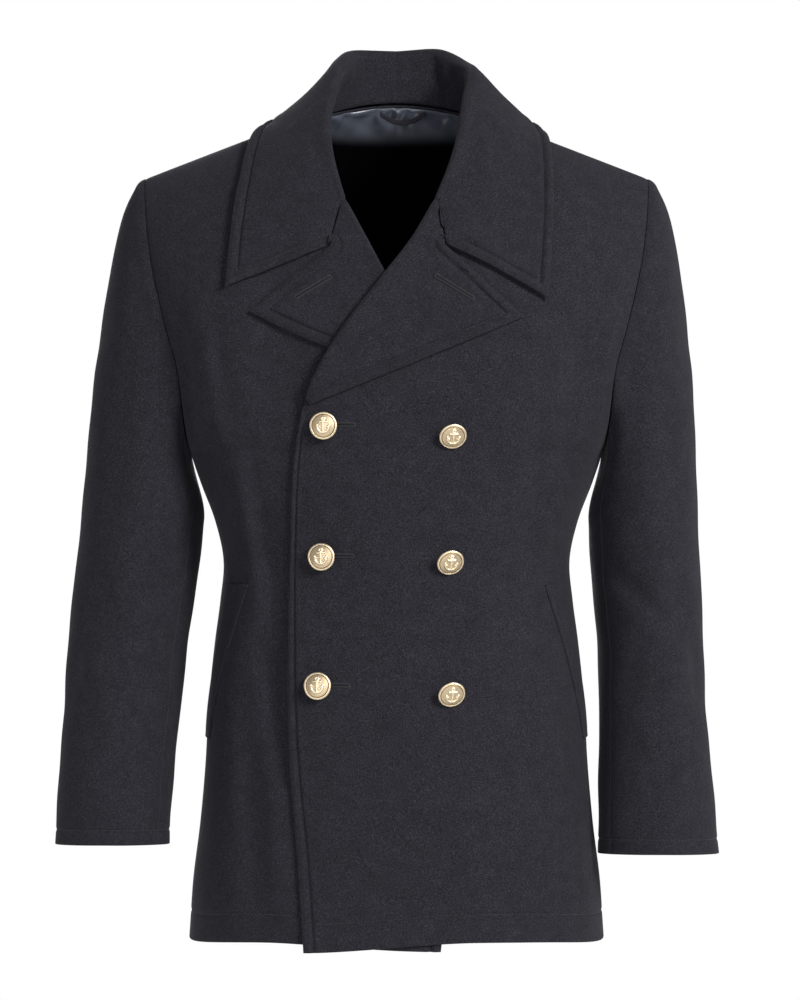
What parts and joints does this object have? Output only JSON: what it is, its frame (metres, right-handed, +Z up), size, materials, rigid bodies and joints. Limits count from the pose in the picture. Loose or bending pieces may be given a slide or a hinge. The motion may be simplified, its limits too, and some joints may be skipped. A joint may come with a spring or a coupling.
{
  "type": "pea coat",
  "caption": "Double-breasted wool pea coat with a broad collar, peaked lapels, slanted welt pockets and gold domed buttons, fastened and filled out as worn.",
  "frame": {"origin": "midway between the two neck points, where the shoulder seams meet the collar", "axes": "+Z up, the front faces -Y, and +X is the wearer's left"},
  "size_m": [0.6256, 0.2847, 0.8558],
  "materials": {
    "melton": "napped wool",
    "lining": "satin",
    "gilt": "polished"
  },
  "bodies": {
    "root": {"front_left": "melton", "front_right": "melton", "back_left": "melton", "back_right": "melton", "sleeve_upper_left": "melton", "sleeve_under_left": "melton", "sleeve_upper_right": "melton", "sleeve_under_right": "melton", "collar": "melton", "lapel_left": "melton", "lapel_right": "melton", "welt_left": "melton", "welt_right": "melton", "lining_back": "lining", "hanger_loop": "melton", "button_upper_fastened": "gilt", "button_upper_show": "gilt", "button_middle_fastened": "gilt", "button_middle_show": "gilt", "button_lower_fastened": "gilt", "button_lower_show": "gilt"}
  },
  "joints": []
}
